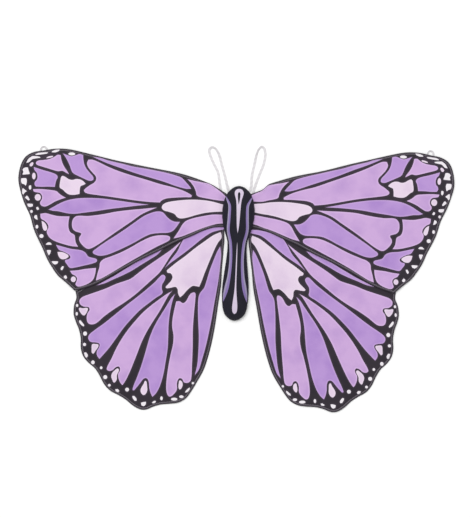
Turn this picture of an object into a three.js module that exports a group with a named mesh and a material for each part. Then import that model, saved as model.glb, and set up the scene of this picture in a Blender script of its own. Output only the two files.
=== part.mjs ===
// Fairy wings: four soft butterfly wings sewn to a stuffed body, with elastic straps.
// Millimetres. The wings lie flat with their printed faces up (+Z), the head end towards +Y.
import * as THREE from 'three';

// Layers, as heights above the surface that the wings lie on
const ELASTIC_THICK = 1.0;
const CLOTH_THICK = 0.7;
const FLEECE_THICK = 1.4;
const LAYER_GAP = 0.3;
const HINDWING_BASE = 0;
const FOREWING_BASE = ELASTIC_THICK + LAYER_GAP;
const BODY_BASE = ELASTIC_THICK + LAYER_GAP;

// Wings
const WING_ROOT_X = 39.5;        // inner end of the wing plates, just outside the body's widest point
const SEAM_INSET = 4;            // the fleece stops short of the sewn edge
const FORE_HIND_GAP = 1.2;       // clearance between the fore- and hindwing plates
const CURVE_STEPS = 3;           // samples for each outline point

// Body
const BACK_PANEL_THICK = 1.0;
const PLUSH_THICK = 1.0;
const BODY_STATIONS = 44;
const BODY_SEGMENTS = 16;

// Elastic
const STRAP_WIDTH = 6;
const STRAP_END_FOLD = 9;        // length of the folded and bar-tacked end
const STRAP_END_GAP = 0.5;
const STRAP_END_X = 13;
const STRAP_UPPER_END_Y = 162;
const STRAP_LOWER_END_Y = 60;
const FINGER_BAND_WIDTH = 5;
const FINGER_LOOP_X = 418;
const FINGER_LOOP_RADIUS = 6.5;
const FINGER_LOOP_ROOT_Y = 262;
const FINGER_LOOP_BEND_Y = 274;
const FINGER_END_FOLD = 7;

// Label
const LABEL_WIDTH = 22;
const LABEL_LENGTH = 32;
const LABEL_TOP_Y = -18;
const LABEL_THICK = 0.6;

const lilac = new THREE.MeshStandardMaterial({ color: 0xcda8de, roughness: 0.6 });
const violet = new THREE.MeshStandardMaterial({ color: 0xb991d7, roughness: 0.6 });
const fleeceWhite = new THREE.MeshStandardMaterial({ color: 0xf4f1f2, roughness: 0.95 });
const navy = new THREE.MeshStandardMaterial({ color: 0x212432, roughness: 0.9 });
const elasticWhite = new THREE.MeshStandardMaterial({ color: 0xebe9eb, roughness: 0.8 });
const labelWhite = new THREE.MeshStandardMaterial({ color: 0xf7f5f2, roughness: 0.5 });

const wings = new THREE.Group();

function addPiece(name, geometry, material) {
  const piece = new THREE.Mesh(geometry, material);
  piece.name = name;
  wings.add(piece);
}

// A smooth run through the given points, sampled evenly
function smoothRun(points) {
  const curve = new THREE.SplineCurve(points.map(([x, y]) => new THREE.Vector2(x, y)));
  return curve.getPoints((points.length - 1) * CURVE_STEPS);
}

function mirrored(points) {
  return points.map((p) => new THREE.Vector2(-p.x, p.y)).reverse();
}

// Moves each outline point inwards along its corner's bisector (the outline runs counter-clockwise)
function inset(points, distance) {
  return points.map((p, i) => {
    const before = points[(i + points.length - 1) % points.length];
    const after = points[(i + 1) % points.length];
    const arriving = p.clone().sub(before).normalize();
    const leaving = after.clone().sub(p).normalize();
    const along = arriving.clone().add(leaving).normalize();
    const reach = distance / Math.max(along.dot(arriving), 0.5);
    return new THREE.Vector2(p.x - along.y * reach, p.y + along.x * reach);
  });
}

function plate(points, base, thickness) {
  const geometry = new THREE.ExtrudeGeometry(new THREE.Shape(points), {
    depth: thickness,
    bevelEnabled: false,
  });
  return geometry.translate(0, 0, base);
}

// ---- Wings: lining, fleece interlining and printed front, for each of the four wings ----

// Lower edge of the forewing from the tip to the root, which is also the hindwing's upper edge
const FOREWING_LOWER_EDGE = [
  [347, -29], [328, -24], [308, -17], [289, -8], [263, 7], [235, 23], [202, 41], [172, 56],
  [145, 70], [127, 79], [105, 88], [75, 100.5], [WING_ROOT_X, 109],
];
// Leading edge from the root, round the blunt tip and down the outer edge
const FOREWING_LEADING_EDGE = [
  [WING_ROOT_X, 195], [62, 207], [120, 226], [194, 240], [260, 253], [320, 267], [362, 276],
  [392, 277], [418, 273], [440, 269], [458, 258], [468, 238], [472, 211], [468, 188],
  [459, 160], [446, 132], [438, 105], [429, 84], [418, 62], [408, 39], [396, 19], [384, 3],
  [366, -12], [347, -29],
];
// Scalloped outer edge of the hindwing from the notch, round the bottom, up to the root
const HINDWING_OUTER_EDGE = [
  [347, -29 - FORE_HIND_GAP], [345, -45], [350, -60], [351, -80], [346, -97], [340, -112], [336, -132],
  [336, -152], [331, -170], [320, -184], [306, -196], [296, -211], [286, -230], [273, -244],
  [256, -253], [240, -263], [224, -276], [208, -284], [195, -284], [181, -278], [164, -273],
  [145, -271], [126, -268], [111, -260], [100, -247], [84.5, -221.5], [72, -198], [63, -171],
  [55, -139], [48, -103], [42, -63], [38, -31], [35.5, 0], [34.5, 40], [35.5, 80],
];

const forewingOutline = [
  ...smoothRun(FOREWING_LEADING_EDGE).slice(0, -1),
  ...smoothRun(FOREWING_LOWER_EDGE),
].reverse();
const hindwingOutline = [
  ...smoothRun(HINDWING_OUTER_EDGE),
  ...smoothRun(FOREWING_LOWER_EDGE.map(([x, y]) => [x, y - FORE_HIND_GAP])).slice(1).reverse(),
].reverse();

function addWing(name, outline, base, cloth) {
  const fleeceBase = base + CLOTH_THICK + LAYER_GAP;
  const frontBase = fleeceBase + FLEECE_THICK + LAYER_GAP;
  addPiece(`${name}_lining`, plate(outline, base, CLOTH_THICK), cloth);
  addPiece(`${name}_interlining`, plate(inset(outline, SEAM_INSET), fleeceBase, FLEECE_THICK), fleeceWhite);
  addPiece(`${name}_front`, plate(outline, frontBase, CLOTH_THICK), cloth);
}

addWing('right_forewing', forewingOutline, FOREWING_BASE, lilac);
addWing('left_forewing', mirrored(forewingOutline), FOREWING_BASE, lilac);
addWing('right_hindwing', hindwingOutline, HINDWING_BASE, violet);
addWing('left_hindwing', mirrored(hindwingOutline), HINDWING_BASE, violet);

// ---- Body: flat back panel, domed plush front panel and the stuffing between them ----

// Half width and height of the dome at places along the body, from the tail to the head
const BODY_PROFILE = new THREE.CatmullRomCurve3([
  [0, -90, 0], [10.7, -86.5, 12], [20.5, -76, 20], [25.5, -63, 24.5], [28, -48, 26.5],
  [29, -28, 27], [28, -8, 26], [25.5, 15, 23.5], [22.7, 38, 21], [20.8, 62, 19.5], [21, 78, 20],
  [23.2, 88, 21.5], [27.5, 100, 24], [31.5, 113, 27], [34.7, 132, 30], [35, 151, 31],
  [31.7, 170, 29], [25.3, 185, 24], [17.3, 194, 17.5], [0, 201, 0],
].map(([halfWidth, y, height]) => new THREE.Vector3(halfWidth, y, height)), false, 'centripetal');

// Closed outline of the body, shrunk all round by the given distance
function bodyOutline(shrink) {
  const side = BODY_PROFILE.getPoints(BODY_STATIONS).map((p) => new THREE.Vector2(p.x, p.y));
  const whole = [...side, ...mirrored(side).slice(1, -1)];
  return shrink > 0 ? inset(whole, shrink) : whole;
}

// Rows of points over half an ellipse at each station, between the two pointed ends
function domeRows(base, shrink) {
  const rows = [];
  const middle = new THREE.Vector3(0, 55, 0);
  for (let i = 1; i < BODY_STATIONS; i += 1) {
    const p = BODY_PROFILE.getPoint(i / BODY_STATIONS);
    const halfWidth = Math.max(p.x - shrink, 0.5);
    const height = Math.max(p.z - shrink, 0.5);
    const y = p.y - Math.sign(p.y - middle.y) * shrink * Math.min(1, Math.abs(p.y - middle.y) / 140);
    const row = [];
    for (let j = 0; j <= BODY_SEGMENTS; j += 1) {
      const angle = (j / BODY_SEGMENTS) * Math.PI;
      row.push([halfWidth * Math.cos(angle), y, base + height * Math.sin(angle)]);
    }
    rows.push(row);
  }
  return rows;
}

// Adds a dome surface to the lists; flip turns its faces inwards. Returns the indices of its rim.
function addDome(positions, triangles, rows, base, tailY, headY, flip) {
  const start = positions.length;
  rows.flat().forEach((p) => positions.push(p));
  const tail = positions.push([0, tailY, base]) - 1;
  const head = positions.push([0, headY, base]) - 1;
  const across = BODY_SEGMENTS + 1;
  const at = (i, j) => start + i * across + j;
  const face = (a, b, c) => triangles.push(flip ? [a, c, b] : [a, b, c]);
  const last = rows.length - 1;
  for (let j = 0; j < BODY_SEGMENTS; j += 1) {
    face(tail, at(0, j), at(0, j + 1));
    face(head, at(last, j + 1), at(last, j));
    for (let i = 0; i < last; i += 1) {
      face(at(i, j), at(i + 1, j), at(i + 1, j + 1));
      face(at(i, j), at(i + 1, j + 1), at(i, j + 1));
    }
  }
  const rim = [tail];
  for (let i = 0; i <= last; i += 1) rim.push(at(i, 0));
  rim.push(head);
  for (let i = last; i >= 0; i -= 1) rim.push(at(i, BODY_SEGMENTS));
  return rim;
}

function meshFrom(positions, triangles) {
  const geometry = new THREE.BufferGeometry();
  geometry.setAttribute('position', new THREE.Float32BufferAttribute(positions.flat(), 3));
  geometry.setIndex(triangles.flat());
  geometry.computeVertexNormals();
  return geometry;
}

const BODY_TAIL_Y = -90;
const BODY_HEAD_Y = 201;

function plushDome(base) {
  const positions = [];
  const triangles = [];
  const outer = addDome(positions, triangles, domeRows(base, 0), base, BODY_TAIL_Y, BODY_HEAD_Y, false);
  const inner = addDome(positions, triangles, domeRows(base, PLUSH_THICK), base,
    BODY_TAIL_Y + PLUSH_THICK, BODY_HEAD_Y - PLUSH_THICK, true);
  outer.forEach((a, i) => {
    const next = (i + 1) % outer.length;
    triangles.push([a, inner[i], outer[next]], [outer[next], inner[i], inner[next]]);
  });
  return meshFrom(positions, triangles);
}

function stuffingDome(base) {
  const positions = [];
  const triangles = [];
  const shrink = PLUSH_THICK + 2 * LAYER_GAP;
  const rim = addDome(positions, triangles, domeRows(base, shrink), base,
    BODY_TAIL_Y + shrink, BODY_HEAD_Y - shrink, false);
  const flat = rim.map((index) => new THREE.Vector2(positions[index][0], positions[index][1]));
  THREE.ShapeUtils.triangulateShape(flat, []).forEach(([a, b, c]) => {
    triangles.push([rim[c], rim[b], rim[a]]);
  });
  return meshFrom(positions, triangles);
}

const DOME_BASE = BODY_BASE + BACK_PANEL_THICK + LAYER_GAP;
addPiece('body_back_panel', plate(bodyOutline(0), BODY_BASE, BACK_PANEL_THICK), navy);
addPiece('body_front_panel', plushDome(DOME_BASE), navy);
addPiece('body_stuffing', stuffingDome(DOME_BASE), fleeceWhite);

// ---- Shoulder straps: a flat elastic band from the back of the thorax up and down to the waist ----

const STRAP_LINE = [
  [STRAP_END_X, STRAP_UPPER_END_Y], [STRAP_END_X, 167], [17, 179], [24, 197], [29.5, 224], [36, 249], [41, 268],
  [48, 279.3], [55, 281.7], [60.5, 275.3], [57.5, 254], [46.5, 231], [37, 210], [33, 190],
  [30.5, 162], [27, 130], [20.5, 98], [15, 77],
  [STRAP_END_X, 66], [STRAP_END_X, STRAP_LOWER_END_Y],
];

// Outline of a flat band of the given width along a line
function bandOutline(line, width) {
  const tangent = (i) => {
    const before = line[Math.max(i - 1, 0)];
    const after = line[Math.min(i + 1, line.length - 1)];
    return after.clone().sub(before).normalize();
  };
  const side = (sign) => line.map((p, i) => {
    const t = tangent(i);
    return new THREE.Vector2(p.x - sign * t.y * width / 2, p.y + sign * t.x * width / 2);
  });
  return [...side(-1), ...side(1).reverse()];
}

function block(xMin, xMax, yMin, yMax, zMin, zMax) {
  const box = new THREE.BoxGeometry(xMax - xMin, yMax - yMin, zMax - zMin);
  return box.translate((xMin + xMax) / 2, (yMin + yMax) / 2, (zMin + zMax) / 2);
}

const strapOutline = bandOutline(smoothRun(STRAP_LINE), STRAP_WIDTH);
addPiece('right_shoulder_strap', plate(strapOutline, 0, ELASTIC_THICK), elasticWhite);
addPiece('left_shoulder_strap', plate(mirrored(strapOutline), 0, ELASTIC_THICK), elasticWhite);

// The cut ends of the straps are folded under and bar-tacked to the back panel
for (const [side, sign] of [['right', 1], ['left', -1]]) {
  for (const [end, topY] of [['upper', STRAP_UPPER_END_Y], ['lower', STRAP_LOWER_END_Y]]) {
    const inner = sign * STRAP_END_X - STRAP_WIDTH / 2 - 0.5;
    const outer = sign * STRAP_END_X + STRAP_WIDTH / 2 + 0.5;
    const top = topY - STRAP_END_GAP;
    const fold = block(inner, outer, top - STRAP_END_FOLD, top, 0, ELASTIC_THICK);
    addPiece(`${side}_strap_${end}_tack`, fold, elasticWhite);
  }
}

// ---- Finger loops: a short elastic hairpin sewn behind each forewing tip ----

function fingerLoopLine() {
  const line = [new THREE.Vector2(FINGER_LOOP_X + FINGER_LOOP_RADIUS, FINGER_LOOP_ROOT_Y)];
  const arc = new THREE.EllipseCurve(FINGER_LOOP_X, FINGER_LOOP_BEND_Y,
    FINGER_LOOP_RADIUS, FINGER_LOOP_RADIUS, 0, Math.PI);
  line.push(...arc.getPoints(14));
  line.push(new THREE.Vector2(FINGER_LOOP_X - FINGER_LOOP_RADIUS, FINGER_LOOP_ROOT_Y));
  return line.reverse();
}

const fingerOutline = bandOutline(fingerLoopLine(), FINGER_BAND_WIDTH);
addPiece('right_finger_loop', plate(fingerOutline, 0, ELASTIC_THICK), elasticWhite);
addPiece('left_finger_loop', plate(mirrored(fingerOutline), 0, ELASTIC_THICK), elasticWhite);

for (const [side, sign] of [['right', 1], ['left', -1]]) {
  const reach = FINGER_LOOP_RADIUS + FINGER_BAND_WIDTH / 2;
  const top = FINGER_LOOP_ROOT_Y - LAYER_GAP;
  const fold = block(sign * FINGER_LOOP_X - reach, sign * FINGER_LOOP_X + reach,
    top - FINGER_END_FOLD, top, 0, ELASTIC_THICK);
  addPiece(`${side}_finger_loop_tack`, fold, elasticWhite);
}

// ---- Care label: a blank woven strip sewn along its top edge to the back of the abdomen ----
addPiece('care_label', block(-LABEL_WIDTH / 2, LABEL_WIDTH / 2,
  LABEL_TOP_Y - LABEL_LENGTH, LABEL_TOP_Y, 0, LABEL_THICK), labelWhite);

export default wings;
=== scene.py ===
"""Soft fairy wings laid out face up: two padded forewings and two padded hindwings in printed
cloth, sewn to a stuffed body, with an elastic shoulder strap on each side and a finger loop at
each tip. Right is +X, the top of the wings is +Y and the face is +Z."""
import math

import bpy
import numpy as np
from mathutils.geometry import delaunay_2d_cdt
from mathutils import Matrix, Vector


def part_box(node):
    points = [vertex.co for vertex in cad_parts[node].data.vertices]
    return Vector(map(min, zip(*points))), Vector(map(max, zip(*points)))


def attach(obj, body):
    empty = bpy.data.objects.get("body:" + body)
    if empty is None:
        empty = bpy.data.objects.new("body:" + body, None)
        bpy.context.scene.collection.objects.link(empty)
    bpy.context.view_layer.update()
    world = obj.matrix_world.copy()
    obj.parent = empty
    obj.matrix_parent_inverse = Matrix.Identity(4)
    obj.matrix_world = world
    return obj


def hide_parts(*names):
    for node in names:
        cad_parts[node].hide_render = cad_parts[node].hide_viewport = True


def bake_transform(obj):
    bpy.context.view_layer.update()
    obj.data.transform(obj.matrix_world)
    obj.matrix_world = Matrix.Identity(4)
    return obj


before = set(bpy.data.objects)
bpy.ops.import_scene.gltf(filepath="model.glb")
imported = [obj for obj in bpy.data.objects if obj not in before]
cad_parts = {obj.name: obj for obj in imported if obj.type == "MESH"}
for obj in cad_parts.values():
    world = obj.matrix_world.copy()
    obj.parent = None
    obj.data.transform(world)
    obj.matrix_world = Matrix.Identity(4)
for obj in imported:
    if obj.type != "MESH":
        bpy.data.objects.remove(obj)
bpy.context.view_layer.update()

# ---------- Camera: straight above the wings, turned a little against them ----------
CAMERA_PLACE = (-0.00103, 0.0432, 2.645)
CAMERA_ROLL = math.radians(0.65)
bpy.ops.object.camera_add(location=CAMERA_PLACE, rotation=(0, 0, CAMERA_ROLL))
camera = bpy.context.object
camera.data.lens = 85
camera.data.clip_end = 20
bpy.context.scene.camera = camera
bpy.context.scene.view_settings.view_transform = "Standard"

# ---------- Floor and light: a white table under a wide, soft light ----------
TABLE_WHITE = 0.93
ROOM_LIGHT = 0.66
KEY_WIDTH = 3.6
KEY_WATTS = 294
bpy.ops.mesh.primitive_plane_add(size=12)
floor = bpy.context.object
floor.name = "floor"
white = bpy.data.materials.new("floor_white")
white.use_nodes = True
white_surface = white.node_tree.nodes["Principled BSDF"]
white_surface.inputs["Base Color"].default_value = (TABLE_WHITE, TABLE_WHITE, TABLE_WHITE, 1)
white_surface.inputs["Roughness"].default_value = 0.9
floor.data.materials.append(white)

bpy.context.scene.world = bpy.data.worlds.new("room")
bpy.context.scene.world.use_nodes = True
sky = bpy.context.scene.world.node_tree.nodes["Background"]
sky.inputs["Color"].default_value = (1, 1, 1, 1)
sky.inputs["Strength"].default_value = ROOM_LIGHT

bpy.ops.object.light_add(type="AREA", location=(-1.3, 2.6, 6.4), rotation=(-0.386, -0.19, 0))
key = bpy.context.object
key.name = "key"
key.data.size = KEY_WIDTH
key.data.energy = KEY_WATTS

# ---------- Printed cloth ----------
# Plain-woven polyester with a butterfly's cells printed in lilac and violet between black veins.
# One finish is made for each ink: the weave, the mottled ink and its lighter edge are in it.
# Each ink is given as its plain, deeper and lighter colour, in 0 to 255 display values.
INKS = {
    "black": ((41, 34, 43), (30, 25, 34), (66, 54, 70)),
    "lilac": ((194, 160, 207), (175, 141, 196), (212, 182, 222)),
    "violet": ((175, 141, 201), (157, 122, 190), (196, 164, 213)),
    "pale": ((219, 201, 220), (205, 184, 210), (226, 212, 226)),
    "white": ((226, 220, 226), (214, 206, 216), (231, 227, 231)),
}
INK_NAMES = list(INKS)
# Painted highlight: a grey that stands for light caught by the ridge of each wing's turned hem.
HEM_RIDGE_HIGHLIGHT = (82, 75, 84)
WEAVE_SCALE = 120
BLOTCHES_PER_METRE = 16


def linear(colour, share=1):
    """A display colour as linear light, or as a share of it."""
    return [((c / 255 + 0.055) / 1.055) ** 2.4 * share for c in colour] + [1]


def add_node(material, kind, **values):
    """A shader node with the given values set on its sockets."""
    node = material.node_tree.nodes.new(kind)
    for name, value in values.items():
        node.inputs[name.replace("_", " ")].default_value = value
    return node


def feed(material, socket, value):
    """Links another node's socket to this one, or sets a plain value on it."""
    if isinstance(value, bpy.types.NodeSocket):
        material.node_tree.links.new(value, socket)
    else:
        socket.default_value = value


def noise(material, **values):
    """A cloudy pattern on the cloth's flat coordinates."""
    place = add_node(material, "ShaderNodeTexCoord")
    clouds = add_node(material, "ShaderNodeTexNoise", **values)
    feed(material, clouds.inputs["Vector"], place.outputs["UV"])
    return clouds.outputs["Fac"]


def bands(material, direction, space="UV", **values):
    """Even bands across one direction of the flat cloth, or of the object's own space."""
    place = add_node(material, "ShaderNodeTexCoord")
    wave = add_node(material, "ShaderNodeTexWave", **values)
    wave.bands_direction = direction
    feed(material, wave.inputs["Vector"], place.outputs[space])
    return wave.outputs["Fac"]


def combined(material, operation, first, second):
    """Two patterns added or multiplied."""
    node = add_node(material, "ShaderNodeMath")
    node.operation = operation
    feed(material, node.inputs[0], first)
    feed(material, node.inputs[1], second)
    return node.outputs[0]


def mixed(material, amount, first, second):
    """The output of a colour mix; first and second are colours or sockets."""
    mix = material.node_tree.nodes.new("ShaderNodeMix")
    mix.data_type = "RGBA"
    feed(material, mix.inputs["Factor"], amount)
    feed(material, mix.inputs[6], first)
    feed(material, mix.inputs[7], second)
    return mix.outputs[2]


def ranged(material, source, low, high, start, end):
    """The output of a clamped range: low to high in source becomes start to end."""
    span = material.node_tree.nodes.new("ShaderNodeMapRange")
    values = {"From Min": low, "From Max": high, "To Min": start, "To Max": end, "Value": source}
    for name, value in values.items():
        feed(material, span.inputs[name], value)
    return span.outputs["Result"]


def new_finish(name, roughness, sheen):
    """A new cloth finish and its surface's sockets."""
    material = bpy.data.materials.new(name)
    material.use_nodes = True
    surface = material.node_tree.nodes["Principled BSDF"].inputs
    surface["Roughness"].default_value = roughness
    surface["Sheen Weight"].default_value = sheen
    surface["Specular IOR Level"].default_value = 0.25
    return material, surface


def cover(material, surface, colour, relief, strength, depth):
    """Gives a finish its colour and its relief."""
    feed(material, surface["Base Color"], colour)
    bump = add_node(material, "ShaderNodeBump", Strength=strength, Distance=depth)
    feed(material, bump.inputs["Height"], relief)
    feed(material, surface["Normal"], bump.outputs["Normal"])


def distance_from(material, edge):
    """The distance in millimetres from an edge, which each point of the cloth carries."""
    carried = add_node(material, "ShaderNodeAttribute")
    carried.attribute_name = edge
    return carried.outputs["Fac"]


def printed_ink(name):
    """Cloth under one ink: base colour, deeper blotches and a lighter rim along the ink's edge."""
    base, deep, light = INKS[name]
    material, surface = new_finish(f"print_{name}", 0.72, 0.12)
    blotches = noise(material, Scale=BLOTCHES_PER_METRE, Detail=4)
    patches = ranged(material, blotches, 0.45, 0.68, 0, 0.8)
    body = mixed(material, patches, linear(base), linear(deep))
    rim = ranged(material, distance_from(material, "ink_edge"), 0.5, 3.5, 0.65, 0)
    colour = mixed(material, rim, body, linear(light))
    # On black, a painted highlight: a grey band 1.6 to 4.6 mm in from the cloth's edge stands for
    # light on the hem's ridge.
    if name == "black":
        hem = distance_from(material, "hem_edge")
        rising = ranged(material, hem, 1.6, 2.8, 0, 1)
        falling = ranged(material, hem, 3.2, 4.6, 1, 0)
        ridge_highlight = combined(material, "MULTIPLY", rising, falling)
        colour = mixed(material, ridge_highlight, colour, linear(HEM_RIDGE_HIGHLIGHT))
    warp = bands(material, "X", Scale=WEAVE_SCALE)
    weft = bands(material, "Y", Scale=WEAVE_SCALE)
    weave = combined(material, "ADD", warp, weft)
    cover(material, surface, colour, weave, 0.35, 0.0003)
    return material


print_finishes = [printed_ink(name) for name in INK_NAMES]

# ---------- Forewings ----------
# Front: printed cloth. It is sewn face to face with the lining round the edge and turned out, so
# the edge is a fold, and it is sewn to the body's seam at the root. A stitched row holds the edge.
# Print outlines are in millimetres from the body's centre line outwards and upwards.
CORNER = True
FOREWING_PRINT = [
    ("lilac", [
        (434.5, 246), (430, 250.5), (420, 252), (407, 254), (396, 258.5), (387, 264),
        (381, 263, CORNER), (380, 256), (376.5, 245), (371, 235), (366, 228), (363, 222.5, CORNER),
        (370, 226), (377, 229.5), (386, 228.5), (397, 231), (410, 235), (424, 239), (432, 242),
    ]),
    ("violet", [
        (376, 267, CORNER), (367, 263.5), (357, 261), (347, 264), (340, 266), (332.5, 264, CORNER),
        (332, 255), (330, 245), (326, 236), (318, 226), (311, 218), (309.5, 212), (313, 209),
        (320, 209), (330, 213), (343, 219), (354, 225), (358, 232), (362, 243), (368, 255),
    ]),
    ("violet", [
        (439, 237, CORNER), (428, 233.5), (415, 229.5), (402, 226), (391, 221.5), (387, 216),
        (390, 209), (392, 201), (393, 194.5, CORNER), (408, 195), (422, 194.5), (434, 195, CORNER),
        (437, 200), (435.5, 206), (432, 209.5), (430.5, 217), (432.5, 225), (437, 230),
    ]),
    ("lilac", [
        (440, 189, CORNER), (425, 189.5), (405, 188), (390, 185.5), (382, 179), (376, 175),
        (369, 171.5, CORNER), (380, 168), (392, 163), (403, 156.5), (413, 152), (421, 153.5),
        (424.5, 158.5), (423.5, 163), (420.5, 168), (420.5, 175), (425, 181), (432, 182.5), (438, 184),
    ]),
    ("pale", [
        (377, 218.5), (371, 216.5), (363, 211.5), (355, 210), (347, 212), (338, 211), (331, 207),
        (326.5, 202, CORNER), (332, 199), (337, 197), (339, 190), (339.5, 180, CORNER), (350, 178),
        (362, 178.5), (369, 182.5), (376, 189), (382, 193), (382.5, 200), (381, 209), (379.5, 216),
    ]),
    ("lilac", [
        (321, 254, CORNER), (324, 246), (320, 236), (312, 226.5), (304.5, 218), (304, 210.5),
        (309, 204), (318, 198.5), (327, 191.5), (330, 187), (325, 182), (305, 178.5), (280, 175.5),
        (250, 171.5), (220, 167.5), (190, 164.5), (166, 163.5, CORNER), (161, 168.5), (150, 172.5),
        (130, 174.5), (110, 175.5), (98, 176), (97, 179), (106, 185), (120, 191), (140, 197),
        (165, 203), (195, 212), (225, 220.5), (255, 230), (280, 240), (300, 249.5), (312, 254),
    ]),
    ("violet", [
        (312, 260.5, CORNER), (295, 258), (275, 252), (250, 246.5), (225, 240.5), (200, 236.5),
        (175, 232), (150, 227), (130, 221.5), (119, 217), (109, 207), (102, 199), (98.5, 194, CORNER),
        (108, 193.5), (120, 196), (135, 200.5), (155, 207.5), (175, 213.5), (200, 220.5), (225, 228),
        (250, 236.5), (275, 245), (295, 253),
    ]),
    ("lilac", [
        (107, 214.5, CORNER), (92, 211), (75, 208), (61, 205), (50, 199), (40, 192), (30, 184, CORNER),
        (24, 178, CORNER), (24, 168, CORNER), (45, 170), (62, 173), (78, 176), (86, 179.5), (88, 187),
        (92, 197), (99, 207),
    ]),
    ("pale", [
        (161.5, 153), (158, 159.5), (149, 164), (130, 167.5), (105, 170), (80, 170), (55, 167),
        (30, 160.5, CORNER), (22, 160, CORNER), (22, 145.5, CORNER), (45, 144.5), (65, 142.5),
        (85, 138), (103, 132.5), (118, 129.5), (127, 131.5), (134, 139), (146, 143.5), (157, 146.5),
    ]),
    ("lilac", [
        (22, 138, CORNER), (50, 138.5), (72, 135), (92, 130.5), (108, 124.5), (116, 117), (124, 103),
        (135, 86, CORNER), (118, 90.5), (98, 98.5), (78, 107), (60, 113.5), (42, 118.5),
        (22, 120, CORNER),
    ]),
    ("violet", [
        (406, 145.5, CORNER), (396, 151), (382, 159), (365, 166), (345, 170), (320, 171.5),
        (290, 170.5), (260, 167), (230, 163), (205, 160), (190, 158.5, CORNER), (215, 156), (245, 152),
        (275, 148), (305, 143), (330, 139.5), (350, 137), (366, 138), (385, 142), (397, 143),
    ]),
    ("lilac", [
        (423.5, 136, CORNER), (412, 137.5), (400, 134.5), (385, 131.5), (360.5, 131, CORNER),
        (362.5, 120), (362.5, 107), (358.5, 97), (349.5, 91), (348, 83), (346.5, 75),
        (341.5, 66, CORNER), (355, 67), (372, 71), (390, 77), (402, 84), (408.5, 94), (408.5, 101),
        (405.5, 106), (407.5, 114), (414, 121), (422, 126),
    ]),
    ("lilac", [
        (345, 132), (353, 125), (355, 115), (353.5, 105), (348, 99.5), (340, 97), (334.5, 94),
        (338.5, 87), (339, 80), (333, 70.5), (322, 62), (314, 62.5), (300, 70), (285, 80.5), (265, 95),
        (245, 109), (225, 123), (208, 135.5), (193, 143.5), (172, 152.5, CORNER), (200, 149.5),
        (230, 146.5), (260, 142.5), (290, 136.5), (320, 132.5),
    ]),
    ("violet", [
        (309.5, 54.5), (303, 49), (292, 47), (278, 49.5), (258, 57.5), (238, 67), (218, 77.5),
        (200, 88), (184, 95), (165, 97.5), (147, 98.5), (137, 102.5), (129, 111.5), (122, 122, CORNER),
        (134, 122.5), (143, 126.5), (151, 133.5), (159, 142), (169, 144), (182, 141.5), (200, 133.5),
        (220, 119.5), (240, 105), (262, 90), (284, 75.5), (301, 63),
    ]),
    ("lilac", [
        (293, 32.5), (294.5, 22), (298, 10), (301.5, -6.5, CORNER), (290, -2), (270, 9.5), (245, 25),
        (220, 40), (195, 54.5), (170, 68.5), (150, 78.5), (143, 84), (144, 90), (154, 92.5), (170, 92),
        (185, 88.5), (205, 79), (228, 65.5), (250, 54), (272, 45), (285, 40),
    ]),
    ("violet", [
        (389, 69.5, CORNER), (374, 65.5), (356, 61), (336, 58.5), (326, 54), (319, 45), (309, 42),
        (301, 39.5), (300.5, 34.5), (310, 30), (330, 25), (347, 21), (358, 20), (364, 26.5), (369, 36),
        (361.5, 38.5), (357.5, 43.5), (363, 50), (374, 55.5), (382, 58.5),
    ]),
    ("lilac", [
        (358, 13.5, CORNER), (342, 15), (325, 18), (302, 20.5, CORNER), (303.5, 8), (307.5, -4),
        (316, -12), (329, -18), (340, -20), (345.5, -15.5), (343.5, -9), (342.5, -2), (347, 3.5),
        (353, 6.5),
    ]),
    ("pale", [
        (420.5, 121, CORNER), (414, 117), (409.5, 110), (408.5, 103.5), (412, 99.5), (416, 101.5),
        (418.5, 108),
    ]),
    ("pale", [
        (385.5, 54, CORNER), (383.5, 46), (378.5, 39.5), (372, 38.5), (366, 40.5), (361.5, 45.5),
        (368, 51), (377, 54),
    ]),
    ("white", [
        (455, 246), (450, 255), (442, 260.5), (431, 260), (424, 258), (432, 256), (442, 254),
        (449, 247.5),
    ]),
    ("white", [(436, 263.5), (425, 264), (412, 266), (408, 268.5), (418, 269), (430, 267.5)]),
    ("white", [(401, 269.5), (392, 269), (385, 272), (383, 275), (392, 274.5), (399, 272)]),
    # Black patch at the tip's pucker: partly the black border that the fold brings into view, partly
    # painted shadow of the fold.
    ("black", [
        (427, 255.5), (421, 256.5), (412, 260), (403, 263.5), (402, 266.5), (408, 266.5), (417, 263.5),
        (425, 259.5),
    ]),
    ("pale", [(412, 256.5), (404, 257.5), (397, 260.5), (403, 261), (410, 259)]),
    ("pale", [(448, 241), (444, 246.5), (440, 246.5), (441, 241), (445, 238)]),
    ("white", [
        (461, 234), (456, 236), (451.5, 235.5), (450, 229), (447.5, 222), (455, 221), (463, 220.5),
        (461, 226), (463, 231),
    ]),
    ("white", [
        (465.5, 212), (455, 212.5), (453.5, 207), (454.5, 200), (456, 196.5), (459, 199.5), (464, 201),
        (466, 206),
    ]),
    ("white", [
        (462, 191), (458, 188), (453.5, 184.5), (458, 181.5), (461, 177), (463.5, 181), (463.5, 187),
    ]),
    ("white", [(449, 196), (444.5, 197.5), (444, 190), (446.5, 187.5), (449, 191)]),
    ("white", [(457, 171), (453, 175), (450, 172), (447, 166), (449.5, 164.5), (454, 168)]),
    ("white", [(452, 157.5), (440.5, 157), (440, 152.5), (446, 150.5), (450.5, 152)]),
    ("white", [(432.5, 150), (429, 151), (426.5, 146), (429, 144), (432, 146)]),
    ("white", [(436, 132), (431.5, 133.5), (430, 127), (429, 123.5), (432.5, 124), (437, 128)]),
    ("white", [(411, 70), (406, 74.5), (401, 74), (398, 70), (404, 69.5)]),
    ("white", [(408.5, 57.5), (400, 57.5), (401, 51.5), (404, 46.5), (406, 50)]),
    ("white", [(398, 33.5), (384, 33.5), (386, 28.5), (391, 27), (395, 29)]),
    ("white", [(375, 23.5), (371.5, 23), (373.5, 17), (376.5, 14.5), (378.5, 18)]),
    ("white", [(371, 2), (367, 4), (364, -1.5), (366.5, -4), (371, -1.5)]),
]
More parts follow.
